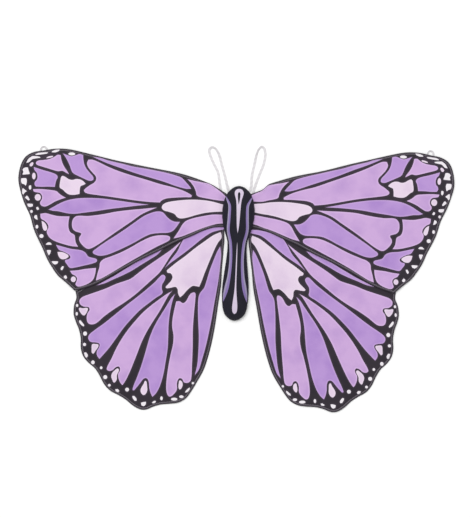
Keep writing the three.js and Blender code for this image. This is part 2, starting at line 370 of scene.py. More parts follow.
# Ovals: ink, centre and the two half widths.
FOREWING_PRINT_SPOTS = [
    ("white", 357, 266, 7.5, 3.2), ("pale", 438.5, 217.5, 3.8, 7.2), ("pale", 429.5, 171.5, 6.6, 7.2),
    ("pale", 350.5, -4.5, 5.4, 6), ("white", 443, 141, 3, 3.2), ("white", 430.5, 108, 3, 4),
    ("white", 420.5, 88, 4.5, 4.2),
]
SIDES = ((1, "right"), (-1, "left"))
HEM_ROWS = (1.2, 2.4, 3.4, 4.2, 5.2, 7)
HEM_PROFILE = (
    (0, 0.55), (0.6, 0.85), (1.4, 1.05), (2.6, 1.0), (3.4, 0.8), (4.2, 0.7), (5.2, 0.95),
    (7, 1.25), (9, 1.35),
)
ROWS_BESIDE_INK = (2.6, -2.2)
CLEAR_OF_INK = 1.5
FAR_FROM_INK = 20.0
POINT_SPACING = 0.9
CLOTH_THICKNESS = 0.45
TABLE_GAP = 0.05
FLEECE_INSET = 4
WING_GRID = 4.6
FLEECE_GRID = 6.5
OUTLINE_STEP = 3
ROOT_FLAP = 22
ROOT_SEAM_X = 41
NECK_CORNER_Y = 184


def oval(centre_x, centre_y, radius_x, radius_y):
    """Twelve points round an oval."""
    turns = [math.tau * k / 12 for k in range(12)]
    return [(centre_x + radius_x * math.cos(a), centre_y + radius_y * math.sin(a)) for a in turns]


def smooth_outline(points, step=2.5, roundness=1.0):
    """A closed curve through the points, smooth except where a point is marked as a corner."""
    place = [np.array(p[:2], float) for p in points]
    curve = []
    for i, start in enumerate(place):
        following = (i + 1) % len(place)
        end = place[following]
        chord = end - start
        length = np.hypot(*chord)
        leaving = chord
        arriving = chord
        if len(points[i]) == 2:
            leaving = end - place[i - 1]
            leaving = leaving / max(np.hypot(*leaving), 1e-6) * length * roundness
        if len(points[following]) == 2:
            arriving = place[(i + 2) % len(place)] - start
            arriving = arriving / max(np.hypot(*arriving), 1e-6) * length * roundness
        pieces = max(1, round(length / step))
        for k in range(pieces):
            t = k / pieces
            curve.append(
                (2 * t**3 - 3 * t**2 + 1) * start
                + (t**3 - 2 * t**2 + t) * leaving
                + (3 * t**2 - 2 * t**3) * end
                + (t**3 - t**2) * arriving
            )
    return np.array(curve)


def drawn_cells(shapes, ovals):
    """Each cell's ink and outline; the small white spots are more angular than the cells."""
    cells = []
    for ink, points in shapes:
        cells.append((ink, smooth_outline(points, roundness=0.35 if ink == "white" else 1)))
    for ink, *size in ovals:
        cells.append((ink, smooth_outline(oval(*size))))
    return cells


def distance_to(points, line, closed=True):
    """How far each point lies from a line of points."""
    ends = np.roll(line, -1, axis=0) if closed else line[1:]
    best = np.full(len(points), 1e9)
    for start, end in zip(line, ends):
        along = end - start
        t = np.clip(((points - start) @ along) / max(along @ along, 1e-9), 0, 1)
        away = points - start - t[:, None] * along
        best = np.minimum(best, np.hypot(away[:, 0], away[:, 1]))
    return best


def eased(value, start, end):
    """0 before start, 1 after end, and smooth between them."""
    t = np.clip((value - start) / (end - start), 0, 1)
    return t * t * (3 - 2 * t)


def counter_clockwise(outline):
    """The same outline, turned round if it runs clockwise."""
    x, y = outline.T
    return outline if np.sum(x * np.roll(y, -1) - y * np.roll(x, -1)) > 0 else outline[::-1]


def cad_outline(name):
    """The outline of a flat CAD node's upper face, counter-clockwise, in millimetres."""
    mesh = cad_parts[name].data
    spots = [tuple(round(c * 1000, 2) for c in v.co[:2]) for v in mesh.vertices]
    uses = {}
    for face in mesh.polygons:
        if face.normal.z > 0.9:
            for a, b in face.edge_keys:
                edge = tuple(sorted((spots[a], spots[b])))
                uses[edge] = uses.get(edge, 0) + 1
    beside = {}
    for (a, b), count in uses.items():
        if count == 1:
            beside.setdefault(a, []).append(b)
            beside.setdefault(b, []).append(a)
    walk = [min(beside)]
    while len(walk) < len(beside):
        ahead = [spot for spot in beside[walk[-1]] if len(walk) < 2 or spot != walk[-2]]
        walk.append(ahead[0])
    return counter_clockwise(np.array(walk))


def beside_outline(outline, distance):
    """Points a set distance inside a counter-clockwise outline (outside if negative)."""
    along = np.roll(outline, -1, axis=0) - np.roll(outline, 1, axis=0)
    along = along / np.maximum(np.hypot(*along.T), 1e-6)[:, None]
    return outline + distance * np.column_stack((-along[:, 1], along[:, 0]))


def clear_of(points, others, gap):
    """The points that are further than gap from every one of the others."""
    far = [np.min(np.hypot(*(others - p).T)) > gap for p in points]
    return points[np.array(far, bool)]


def cut_cloth(outline, cells, grid, inks=INK_NAMES, hem_rows=HEM_ROWS):
    """Flat cloth as triangles that follow its outline and its print.
    Gives the points, the triangles, each triangle's ink, and each point's distance from the
    cloth's edge and from the nearest edge of an ink."""
    loops = [counter_clockwise(outline)] + [counter_clockwise(loop) for _, loop in cells]
    constraints = []
    points = []
    for loop in loops:
        constraints.append(list(range(len(points), len(points) + len(loop))))
        points += [tuple(p) for p in loop]
    low = outline.min(axis=0)
    high = outline.max(axis=0)
    loose = []
    for row, y in enumerate(np.arange(low[1], high[1], grid * 0.87)):
        for x in np.arange(low[0] + grid / 2 * (row % 2), high[0], grid):
            loose.append((x, y))
    loose = np.array(loose)
    loose = loose[distance_to(loose, loops[0]) > max(grid, 9)]
    rows = [beside_outline(loops[0], d) for d in hem_rows]
    kept = [r[distance_to(r, loops[0]) > d * 0.93] for r, d in zip(rows, hem_rows)]
    if cells:
        ink_lines = np.concatenate(loops[1:])
        for loop in loops[1:]:
            kept += [beside_outline(loop, distance) for distance in ROWS_BESIDE_INK]
        kept = [clear_of(points_beside, ink_lines, CLEAR_OF_INK) for points_beside in kept]
        loose = clear_of(loose, ink_lines, grid * 0.7)
    extra = np.concatenate(kept + [loose])
    spots = np.round(extra / POINT_SPACING)
    extra = extra[np.sort(np.unique(spots, axis=0, return_index=True)[1])]
    points += [tuple(p) for p in extra]
    made = delaunay_2d_cdt(points, [], constraints, 0, 1e-4)
    placed = np.array([tuple(p) for p in made[0]])
    triangles = []
    owned_by = []
    for triangle, owners in zip(made[2], made[5]):
        if 0 in owners:
            triangles.append(triangle)
            cell = max(owners)
            owned_by.append(inks.index(cells[cell - 1][0]) if cell else 0)
    used = np.unique(np.array(triangles))
    renumber = np.full(len(placed), -1)
    renumber[used] = np.arange(len(used))
    placed = placed[used]
    triangles = renumber[np.array(triangles)]
    hem = distance_to(placed, loops[0])
    ink_edge = np.full(len(placed), FAR_FROM_INK)
    for loop in loops[1:]:
        box_low = loop.min(axis=0) - 8
        box_high = loop.max(axis=0) + 8
        near = np.all((placed > box_low) & (placed < box_high), axis=1)
        ink_edge[near] = np.minimum(ink_edge[near], distance_to(placed[near], loop))
    return placed, triangles, owned_by, hem, ink_edge


def wing_half_thickness(hem):
    """Half the thickness of lining, fleece and front together, by distance from the edge."""
    return np.interp(hem, *zip(*HEM_PROFILE))


def ripple(flat, hem, shift):
    """The slight waves of a padded cloth that lies loose, larger at its free edge."""
    u, v = flat.T
    wide = np.sin(u / 41 + v / 63 + shift) + np.sin(v / 37 - u / 88 + 2.1 * shift)
    wide = wide + np.sin((u + 1.3 * v) / 29 + 0.7 * shift)
    edge = np.sin(u / 11.5 + 1.7 * shift) * np.cos(v / 13.5 + shift)
    free = eased(u, 60, 130)
    return free * (0.33 * (wide + 1.8) + 0.75 * (edge + 1) * np.exp(-hem / 16))


def creased(flat, grooves):
    """Soft grooves in the cloth: each has a start, an end, a width and a depth."""
    height = 0
    for start, end, width, depth in grooves:
        away = distance_to(flat, np.array([start, end], float), closed=False)
        height = height - depth * np.exp(-((away / width) ** 2))
    return height


def new_piece(name, points, faces, finishes, slots=None, flat=None):
    """A smooth piece from points in metres; flat is each point's place on the flat cloth."""
    mesh = bpy.data.meshes.new(name)
    mesh.from_pydata([tuple(p) for p in points], [], faces)
    for finish in finishes:
        mesh.materials.append(finish)
    if slots:
        mesh.polygons.foreach_set("material_index", slots)
    mesh.polygons.foreach_set("use_smooth", [True] * len(faces))
    if flat is not None:
        layer = mesh.uv_layers.new(name="flat")
        corner_points = [loop.vertex_index for loop in mesh.loops]
        layer.data.foreach_set("uv", (flat[corner_points] / 1000).ravel())
    mesh.validate()
    piece = bpy.data.objects.new(name, mesh)
    bpy.context.scene.collection.objects.link(piece)
    return piece


def both_faces(triangles, count):
    """Faces of a closed cloth from its upper side's: the lower side's and the rim's are added.
    Gives the faces and the upper point that each rim face starts from."""
    sides = {}
    for triangle in triangles:
        for a, b in zip(triangle, np.roll(triangle, -1)):
            sides[(int(a), int(b))] = True
    rim = [(a, b) for a, b in sides if (b, a) not in sides]
    faces = [tuple(map(int, t)) for t in triangles]
    faces += [tuple(int(v) + count for v in t[::-1]) for t in triangles]
    faces += [(b, a, a + count, b + count) for a, b in rim]
    return faces, [a for a, _ in rim]


def closed_sheet(name, cut, lay, finishes, top, bottom):
    """A sheet with a real thickness, from cut cloth; lay gives each flat point its X and Y."""
    flat, triangles, inks, hem, ink_edge = cut
    placed = lay(flat)
    if placed[:, 0].mean() < 0:
        triangles = triangles[:, ::-1]
    faces, rim = both_faces(triangles, len(flat))
    upper = np.column_stack((placed, top)) / 1000
    lower = np.column_stack((placed, bottom)) / 1000
    slots = None
    if len(finishes) > 1:
        by_point = {}
        for triangle, ink in zip(triangles, inks):
            for point in triangle:
                by_point[int(point)] = ink
        slots = list(inks) * 2 + [by_point[a] for a in rim]
    points = np.concatenate((upper, lower))
    piece = new_piece(name, points, faces, finishes, slots, np.concatenate((flat, flat)))
    for edge, distances in (("ink_edge", ink_edge), ("hem_edge", hem)):
        stored = piece.data.attributes.new(edge, "FLOAT", "POINT")
        both = np.concatenate((distances, distances)).astype(np.float32)
        stored.data.foreach_set("value", both)
    return piece


def wing_outline(cut_edge, cornered):
    """A wing's smooth cutting line; the points that cornered picks out stay sharp."""
    marked = [(*p, CORNER) if sharp else tuple(p) for p, sharp in zip(cut_edge, cornered)]
    return smooth_outline(marked, OUTLINE_STEP)


forewing_edge = cad_outline("right_forewing_front")
hindwing_edge = cad_outline("right_hindwing_front")
hem_chain = forewing_edge[distance_to(forewing_edge, hindwing_edge) < 2.5]
hem_chain = hem_chain[np.argsort(hem_chain[:, 0])]
forewing_cut_edge = forewing_edge.copy()
at_root = forewing_cut_edge[:, 0] < ROOT_SEAM_X - 0.5
forewing_cut_edge[at_root, 0] = ROOT_FLAP
forewing_cut_edge[at_root & (forewing_cut_edge[:, 1] > 150), 1] = NECK_CORNER_Y
low_root = forewing_cut_edge[:, 1] < 112
forewing_cut_edge[low_root, 1] += 3.5 * (1 - eased(forewing_cut_edge[low_root, 0], 50, 95))
forewing_outline = wing_outline(forewing_cut_edge, forewing_cut_edge[:, 0] < ROOT_SEAM_X)
forewing_cells = drawn_cells(FOREWING_PRINT, FOREWING_PRINT_SPOTS)
forewing_cut = cut_cloth(forewing_outline, forewing_cells, WING_GRID)
FOREWING_CREASES = {
    -1: (((426, 258), (404, 266), 3.2, 1.3), ((40, 196), (84, 178), 4, 0.8)),
    1: (
        ((424, 262), (398, 258), 3.2, 1.2),
        ((246, 222), (243, 178), 3, 0.5),
        ((70, 204), (44, 176), 4, 1.0),
    ),
}


def forewing_middle(side):
    """Height of the padding's middle: on the table, over the hindwing, up to the body's seam."""

    def middle(flat, hem):
        over_hindwing = 1 - eased(distance_to(flat, hem_chain, closed=False), 12, 40)
        at_body = 1 - eased(flat[:, 0], 36, 75)
        height = 1.75 + 2.5 * np.maximum(over_hindwing, at_body)
        height = height + ripple(flat, hem, 0.4 if side > 0 else 2.3)
        return height + creased(flat, FOREWING_CREASES[side])

    return middle


def lay_forewing(side):
    """Cloth to table. The right forewing lies a little skewed, with a fold at its root."""

    def lay(flat):
        u, v = flat.T
        if side < 0:
            return np.column_stack((-u, v))
        skew = 0.036 * np.maximum(v - 150, 0) + 0.018 * np.minimum(v - 150, 0)
        skew = (skew - 0.022 * (u - 260)) * eased(u, 40, 110)
        sag = 3 * eased(u, 30, 60) - 5.5 * eased(u, 150, 270) + 4.5 * eased(u, 320, 450)
        fold = 8 * (1 - eased(u, 52, 70)) * eased(v, 160, 204)
        return np.column_stack((u + skew, v - sag - fold))

    return lay


def fleece_material():
    """White needled fleece: a matt, fuzzy felt of fine loose fibres."""
    material, surface = new_finish("fleece_white", 0.95, 0.4)
    fibres = noise(material, Scale=900, Detail=6, Distortion=1.5)
    tone = mixed(material, fibres, linear((222, 220, 222)), linear((246, 246, 246)))
    cover(material, surface, tone, fibres, 0.5, 0.0006)
    return material


def fleece_outline(outline):
    """The fleece stops inside the cloth's edge, at the stitched row."""
    row = beside_outline(outline, FLEECE_INSET)
    return row[distance_to(row, outline) > FLEECE_INSET - 0.1][::2]


def wing_cloths(wing, cut, fleece_cut, middle, lay, sew_to):
    """Front, fleece and lining of one wing, each laid on the next and passed to sew_to."""
    flat, hem = cut[0], cut[3]
    half = wing_half_thickness(hem)
    level = np.maximum(middle(flat, hem), half + TABLE_GAP)
    top = level + half
    bottom = level - half
    inside = top - CLOTH_THICKNESS
    front = closed_sheet(f"{wing}_front_cloth", cut, lay, print_finishes, top, inside)
    inside = bottom + CLOTH_THICKNESS
    lining = closed_sheet(f"{wing}_lining_cloth", cut, lay, print_finishes, inside, bottom)
    flat, hem = fleece_cut[0], fleece_cut[3] + FLEECE_INSET
    half = wing_half_thickness(hem)
    room = np.maximum(half - 0.75, 0.1)
    level = np.maximum(middle(flat, hem), half + TABLE_GAP)
    fleece = closed_sheet(
        f"{wing}_fleece_pad", fleece_cut, lay, [fleece_finish], level + room, level - room
    )
    for piece, part, slot in (
        (front, "front", "wing_print"),
        (lining, "lining", "wing_lining"),
        (fleece, "interlining", "fleece"),
    ):
        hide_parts(f"{wing}_{part}")
        sew_to(piece)
    return front, fleece, lining


fleece_finish = fleece_material()
forewing_fleece_cut = cut_cloth(fleece_outline(forewing_outline), [], FLEECE_GRID)
for side, word in SIDES:
    hinge_start = (side * 0.033, 0, 0)
    hinge_end = (side * 0.047, 0, 0)

    def sew_forewing(piece, body=f"{word}_forewing", start=hinge_start, end=hinge_end):
        """Bakes the piece's placing into its points."""
        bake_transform(piece)
        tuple(start)
        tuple(end)

    wing_cloths(
        f"{word}_forewing",
        forewing_cut,
        forewing_fleece_cut,
        forewing_middle(side),
        lay_forewing(side),
        sew_forewing,
    )

# ---------- Hindwings ----------
# Made as the forewings are. Each runs up under the forewing's lower edge, and its root is caught
# in the same seam, so that it hangs from the forewing's hinge line.
HINDWING_PRINT = [
    ("pale", [
        (36, 101, CORNER), (52, 93.5), (70, 80), (90, 64.5), (110, 48), (130, 33), (149, 17, CORNER),
        (148, 12.5), (140.5, 10.5), (136.5, 3), (140, -6), (147, -14), (151, -20.5), (143, -21),
        (130, -18.5), (125.5, -23), (124, -33), (120, -41, CORNER), (114, -36), (104, -24.5),
        (93, -16), (85, -16.5), (79, -17.5, CORNER), (74.5, -6), (68, 13), (58, 40), (47, 67),
        (40, 80), (34, 88), (34, 96),
    ]),
    ("violet", [
        (36.5, 70, CORNER), (43, 58), (51, 38), (58, 18), (64, -4), (69, -20), (76, -29.5), (80, -40),
        (81, -65), (80, -95), (78.5, -125), (79, -155), (81, -185), (86, -208.5, CORNER), (78, -197),
        (71, -173), (64, -145), (58, -115), (53, -87), (48, -55), (43.5, -28), (39, 0), (36, 30),
        (34.5, 55),
    ]),
    ("lilac", [
        (87.5, -31), (94, -31), (100, -36.5), (106, -48), (113, -53.5), (121, -49.5),
        (128, -50, CORNER), (132, -68), (135.5, -88), (136, -105), (133, -124), (134, -143),
        (139, -166), (144, -195), (147.5, -228), (146, -248), (140, -255.5), (131, -250),
        (124.5, -240), (124.5, -226), (120, -216), (113.5, -217), (109, -224.5), (99, -224.5),
        (94, -217), (92.5, -185), (91.5, -150), (91.5, -110), (89.5, -75), (87, -45),
    ]),
    ("pale", [
        (119, -220.5), (114.5, -222), (112, -229), (114, -236), (118.5, -240), (121, -235),
        (120.5, -226),
    ]),
    ("violet", [
        (131, -34, CORNER), (139, -43), (146, -55), (155, -70), (166, -88), (176, -107), (184, -127),
        (190, -148), (196, -170), (203, -193), (211, -215), (219, -236), (219, -243), (212, -237),
        (204, -227), (197, -218), (190, -216.5), (185.5, -224), (184, -238), (180.5, -250),
        (177, -256.5, CORNER), (169, -248), (161, -232), (154, -207), (149.5, -180), (145.5, -152),
        (144.5, -125), (144, -100), (141, -72), (136, -48),
    ]),
    ("pale", [
        (193, -222), (190, -225), (189, -233), (188.5, -243), (191.5, -250), (196, -253),
        (200.5, -250), (203, -243.5), (201, -236.5), (196.5, -229),
    ]),
    ("lilac", [
        (137, -27.5, CORNER), (150, -35), (165, -46), (182, -59), (200, -75), (216, -93), (232, -113),
        (246, -134), (257, -154), (266, -174), (276.5, -197), (272, -201.5), (264.5, -200),
        (257, -193.5), (250, -192), (247.5, -199), (251.5, -208), (250.5, -218), (246, -228),
        (242, -232, CORNER), (235, -221), (227, -204), (219, -184), (211, -163), (202, -139),
        (191, -116), (178, -94), (163, -70), (151, -48), (143, -34),
    ]),
    ("pale", [
        (253, -196), (250, -199), (251.5, -204), (254.5, -211), (254.5, -219), (257.5, -225),
        (260.5, -227), (264, -221), (266.5, -213), (264.5, -206), (259, -200),
    ]),
    ("violet", [
        (152, 3.5), (158, 7.5), (165, 2), (174, -8), (185, -18), (200, -31), (218, -45.5), (240, -63),
        (262, -81.5), (284, -99.5), (303, -113.5), (315, -124), (317, -132), (312, -139),
        (300, -140.5), (292.5, -143.5), (293.5, -151), (298, -159), (298, -168), (292.5, -176, CORNER),
        (285, -167.5), (272, -152), (257, -131), (240, -107), (222, -86), (205, -68.5), (187, -54),
        (172, -42.5), (158, -32), (159.5, -23), (159, -14), (154, -5),
    ]),
    ("pale", [
        (308, -144), (300, -144), (295, -145), (296, -151), (301, -158), (306, -165), (309, -163),
        (309.5, -155), (309.5, -148),
    ]),
    ("lilac", [
        (337, -50), (331, -43), (318, -37.5), (300, -31), (280, -23.5), (258, -13.5), (238, -6.5),
        (226, -1.5), (215, 7), (198, 20.5), (180, 33.5), (160, 47.5), (140, 62), (119, 80, CORNER),
        (130, 64), (143, 46), (154, 28), (165, 12), (180, -2.5), (198, -19), (218, -37), (240, -53.5),
        (262, -68), (283, -83.5), (300, -98.5), (310, -101.5), (318, -98.5), (321, -88), (319, -77),
        (315, -70.5), (317, -64.5), (328, -63), (335.5, -58),
    ]),
    ("pale", [
        (337.5, -66.5), (330, -67), (319, -66.5), (319.5, -72), (323, -79), (327, -82.5), (332, -79.5),
        (336.5, -73),
    ]),
    ("violet", [
        (300, -17, CORNER), (280, -6), (262, 4), (245, 15), (228, 26), (210, 38), (190, 49), (170, 60),
        (158, 64, CORNER), (170, 51), (188, 39), (207, 27), (225, 15.5), (245, 5), (265, -4),
        (282, -12),
    ]),
    ("violet", [
        (22, 114, CORNER), (45, 113), (62, 110), (80, 105.5), (96, 100), (108, 92), (118, 77),
        (127, 58), (139, 42), (153, 22, CORNER), (144, 31), (128, 43), (110, 56.5), (92, 71),
        (74, 86.5), (56, 99.5), (41, 104.5), (22, 108.5, CORNER),
    ]),
    ("white", [
        (337.5, -94), (335, -92.5), (331, -97), (326, -103.5), (327, -106), (332, -103.5),
        (336.5, -98.5),
    ]),
    ("white", [
        (325.5, -163), (321.5, -162), (317.5, -168), (319.5, -173.5), (323, -172), (325, -167),
    ]),
    ("white", [(257.5, -241.5), (252, -240.5), (249, -244.5), (251, -247.5), (256, -245.5)]),
    ("white", [
        (220.5, -255.5), (216.5, -255), (211.5, -261), (211.5, -265.5), (216, -265), (219.5, -260),
    ]),
    ("white", [(201.5, -269.5), (191, -267.5), (191.5, -273), (195.5, -277), (200.5, -275)]),
    ("white", [(178, -269), (173, -265), (169.5, -265.5), (171, -269.5), (176, -270.5)]),
    ("white", [
        (106.5, -246.5), (101, -245), (96.5, -239), (97, -235.5), (100.5, -238), (105.5, -243),
    ]),
]
# Ovals: ink, centre and the two half widths.
HINDWING_PRINT_SPOTS = [
    ("white", 342, -61, 2.6, 3.2), ("white", 342.5, -79, 2.4, 4), ("white", 324, -121.5, 4.2, 4.6),
    ("white", 325, -145, 3.4, 3.4), ("white", 306.5, -183.5, 3.8, 4.2), ("white", 288.5, -195, 2.8, 3),
    ("white", 279.5, -215, 4.3, 4.3), ("white", 270.5, -232.5, 3, 3), ("white", 232, -241.5, 4.2, 4.2),
    ("white", 157.5, -259.5, 2.7, 4.3), ("white", 130, -261, 7, 3.2), ("white", 114.5, -255.5, 4.8, 3),
    ("white", 90, -226, 2.6, 2.6),
]
SEAM_UNDERLAP = 15
SPLAY = 0.0157
RIGHT_TURN = 0.039
hindwing_cut_edge = hindwing_edge.copy()
under = distance_to(hindwing_cut_edge, forewing_edge) < 2.5
hindwing_cut_edge[under, 1] += SEAM_UNDERLAP * eased(-hindwing_cut_edge[under, 0], -347, -300)
inner = (hindwing_cut_edge[:, 0] < 47) & (hindwing_cut_edge[:, 1] > -60)
inner_y = hindwing_cut_edge[inner, 1]
hindwing_cut_edge[inner, 0] -= 2 * eased(inner_y, -60, 0) + 6 * eased(inner_y, 10, 90)
hindwing_cut_edge[inner, 0] -= 4 * eased(inner_y, 72, 98)
hindwing_cells = drawn_cells(HINDWING_PRINT, HINDWING_PRINT_SPOTS)
for _, cell in hindwing_cells:
    cell[:, 0] += SPLAY * (30 - cell[:, 1])
hindwing_outline = wing_outline(
    hindwing_cut_edge, (hindwing_cut_edge[:, 0] < ROOT_SEAM_X) & (hindwing_cut_edge[:, 1] > 90)
)
hindwing_cut = cut_cloth(hindwing_outline, hindwing_cells, WING_GRID)
hindwing_fleece_cut = cut_cloth(fleece_outline(hindwing_outline), [], FLEECE_GRID)
HINDWING_CREASES = {
    -1: (((55, -103), (84, -101), 3, 0.5), ((96, -86), (103, -93), 5, 0.6)),
    1: (((52, -119), (64, -124), 5, 0.6),),
}


def hindwing_middle(side):
    """Height of the padding's middle: on the table, pressed down by the forewing's edge."""

    def middle(flat, hem):
        free = eased(distance_to(flat, hem_chain, closed=False), 0, 40)
        height = 1.42 + 0.8 * ripple(flat, hem, 1.1 if side > 0 else 3.7) * free
        return height + creased(flat, HINDWING_CREASES[side])

    return middle


def lay_hindwing(side):
    """Cloth to table. The left hindwing lies close to the body, the right one turned outwards."""

    def lay(flat):
        u, v = flat.T
        out = u + side * SPLAY * (30 - v)
        if side < 0:
            return np.column_stack((2 * (1 - eased(u, 45, 90)) - out, v))
        out = out + (5.4 + 0.021 * v) * (1 - eased(u, 45, 125))
        return np.column_stack((out - RIGHT_TURN * (v + 70), v + RIGHT_TURN * (u - 215)))

    return lay


for side, word in SIDES:
    wing_cloths(
        f"{word}_hindwing",
        hindwing_cut,
        hindwing_fleece_cut,
        hindwing_middle(side),
        lay_hindwing(side),
        lambda piece, body=f"{word}_hindwing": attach(piece, body),
    )

# ---------- Topstitching ----------
# One row of grey polyester thread, 4 mm inside every free edge, through front, fleece and lining.
STITCH_PITCH = 3.6
STITCH_LENGTH = 3.0
STITCH_WIDTH = 0.7
STITCH_INSET = 4.2
STITCH_RINGS = ((-0.5, 0.25), (-0.36, 0.8), (0, 1), (0.36, 0.8), (0.5, 0.25))
STITCH_SIDES = 6


def thread_material(name, colour):
    """Twisted thread: fine slanted plies and a slight shine."""
    material, surface = new_finish(name, 0.5, 0.1)
    plies = bands(material, "DIAGONAL", "Object", Scale=900, Distortion=2)
    # Painted shade: the thread is coloured darker in the grooves between its plies.
    tone = mixed(material, plies, linear(colour, 0.7), linear(colour))
    cover(material, surface, tone, plies, 0.4, 0.0001)
    return material


def tube_faces(rings, around):
    """Faces of a closed tube of rings with the same number of points around each."""
    faces = []
    for ring in range(rings - 1):
        for k in range(around):
            a = ring * around + k
            b = ring * around + (k + 1) % around
            faces.append((a, b, b + around, a + around))
    faces.append(tuple(range(around - 1, -1, -1)))
    faces.append(tuple((rings - 1) * around + k for k in range(around)))
    return faces


def stitch_mesh(name, centres, directions, length, width, finish):
    """Short plump stitches along a row: centres and directions in metres."""
    turns = [math.tau * k / STITCH_SIDES for k in range(STITCH_SIDES)]
    one_stitch = tube_faces(len(STITCH_RINGS), STITCH_SIDES)
    points = []
    faces = []
    for centre, along in zip(centres, directions):
        along = along / np.linalg.norm(along)
        across = np.cross((0, 0, 1), along)
        across = across / np.linalg.norm(across)
        raised = np.cross(along, across)
        faces += [tuple(len(points) + k for k in face) for face in one_stitch]
        for shift, swell in STITCH_RINGS:
            for a in turns:
                out = across * math.cos(a) * width / 2 + raised * math.sin(a) * width * 0.35
                points.append(centre + along * shift * length + out * swell)
    return new_piece(name, points, faces, [finish])


def evenly_spaced(line, pitch):
    """Points at equal steps along a closed line, and the direction of the line at each."""
    closed = np.vstack((line, line[:1]))
    steps = np.hypot(*np.diff(closed, axis=0).T)
    travelled = np.concatenate(([0], np.cumsum(steps)))
    wanted = np.arange(0, travelled[-1], pitch)
    spot = np.column_stack([np.interp(wanted, travelled, closed[:, k]) for k in range(2)])
    ahead = np.column_stack([np.interp(wanted + 0.5, travelled, closed[:, k]) for k in range(2)])
    return spot, ahead


def topstitch(name, outline, middle, lay, free):
    """The stitched row on both faces of a wing, where free says that its edge is free."""
    row = beside_outline(outline, STITCH_INSET)
    row = row[distance_to(row, outline) > STITCH_INSET * 0.97]
    spot, ahead = evenly_spaced(row, STITCH_PITCH)
    keep = free(spot) & (np.hypot(*(ahead - spot).T) > 0.1)
    spot, ahead = spot[keep], ahead[keep]
    hem = np.full(len(spot), STITCH_INSET)
    centres = []
    directions = []
    for face in (1, -1):
        rise = [middle(p, hem) + face * (wing_half_thickness(hem) + 0.02) for p in (spot, ahead)]
        here = np.column_stack((lay(spot), rise[0])) / 1000
        there = np.column_stack((lay(ahead), rise[1])) / 1000
        centres += list(here)
        directions += list(there - here)
    size = (STITCH_LENGTH / 1000, STITCH_WIDTH / 1000)
    return stitch_mesh(name, centres, directions, *size, thread_grey)


def declare_sheet(cut):
    """Reads a cloth's flat points and triangles; nothing is done with them."""
    flat, triangles = cut[:2]


def forewing_free(p):
    """The forewing's edge is free outside the body's seam."""
    return p[:, 0] > 49


def hindwing_free(p):
    """The hindwing's edge is free where it isn't under the forewing."""
    return (distance_to(p, hem_chain, closed=False) > 3) & (p[:, 1] < 100)


thread_grey = thread_material("thread_grey", (150, 144, 152))
SEWN = {
    "forewing": (forewing_outline, forewing_middle, lay_forewing, forewing_free),
    "hindwing": (hindwing_outline, hindwing_middle, lay_hindwing, hindwing_free),
}
CUT = {
    "forewing": (forewing_cut, forewing_fleece_cut),
    "hindwing": (hindwing_cut, hindwing_fleece_cut),
}
for side, word in SIDES:
    for wing, (outline, middle, lay, free) in SEWN.items():
        cut, fleece_cut = CUT[wing]
        row = topstitch(f"{word}_{wing}_topstitch", outline, middle(side), lay(side), free)
        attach(row, f"{word}_{wing}")
        declare_sheet(cut)
        declare_sheet(fleece_cut)
        declare_sheet(cut)

# ---------- Body ----------
# A stuffed tube in dark short-pile plush with printed pale and violet stripes: a domed front
# panel and a nearly flat back panel, joined by one seam round the edge at wing height.
BODY_LEAN = math.radians(1.6)
BODY_PIVOT_Y = -5
BODY_LOW = -90
BODY_HIGH = 201
BODY_TURN = 10
SEAM_HEIGHT = 4.4
BACK_DEPTH = 3.0
GIRTH = 30
BODY_GRID = 3.4
BODY_BACK_GRID = 5
BODY_HEM_ROWS = (1.5, 3, 5)
BODY_WIDTHS = [
    (-90, 0, 0), (-86.5, 13, 13), (-76, 22, 21), (-63, 26.3, 24.5), (-48, 28, 26.5),
    (-28, 29, 27), (-8, 28, 26), (15, 25.5, 23.5), (38, 22.7, 21), (62, 20.8, 19.5), (78, 21, 20),
    (88, 23.2, 21.5), (100, 27.5, 24), (113, 31.5, 27), (132, 34.7, 30), (151, 35, 31),
    (170, 31.7, 29), (185, 25.3, 24), (194, 17.3, 17.5), (201, 0, 0),
]
KEYHOLE = [
    (5.5, 192.5), (9, 188), (9.5, 183), (8, 177), (5.9, 169), (4.8, 160), (4.1, 148),
    (3.4, 133), (2.7, 120), (1.8, 109),
]
KEYHOLE_DROP = [(2.2, 185), (2.8, 180), (2.3, 173), (1.3, 166)]
LOWER_DROP = [
    (0.6, 68), (1, 45), (1.2, 15), (1.3, -5), (1.8, -20), (2.8, -32), (4.2, -45), (5.4, -57),
    (5.3, -66), (3.4, -72.5),
]
BODY_STRIPE = [
    (29, 178, 0.6), (24, 168, 4), (19.5, 157, 5.5), (19.5, 132, 6), (20.3, 104, 6), (14.5, 76, 6),
    (12.5, 41, 6), (15, 5, 7), (19, -18, 9), (22.5, -34, 7), (25.5, -49, 0.6),
]
LAVENDER_SHARE = 0.42


def mirrored(top, half, bottom):
    """An outline on the centre line from its right half; top and bottom are its two ends."""
    return [top, *half, bottom, *((-x, y) for x, y in reversed(half))]


def body_size(y):
    """Half width and height of the body, in millimetres, at each place along it."""
    along, *sizes = np.array(BODY_WIDTHS).T
    from_end = np.minimum(y - BODY_LOW, BODY_HIGH - y)
    turn = np.where(y < 50, BODY_LOW + BODY_TURN, BODY_HIGH - BODY_TURN)
    rounded = np.sqrt(np.clip(from_end, 0, BODY_TURN) / BODY_TURN)
    found = []
    for size in sizes:
        at_end = np.interp(turn, along, size) * rounded
        found.append(np.where(from_end < BODY_TURN, at_end, np.interp(y, along, size)))
    return found


def round_the_body(points):
    """Plan points on the body as flat points of its cover: distance round the dome, and Y."""
    width, _ = body_size(points[:, 1])
    across = np.clip(points[:, 0] / np.maximum(width, 0.1), -1, 1)
    return np.column_stack((GIRTH * np.arcsin(across), points[:, 1]))


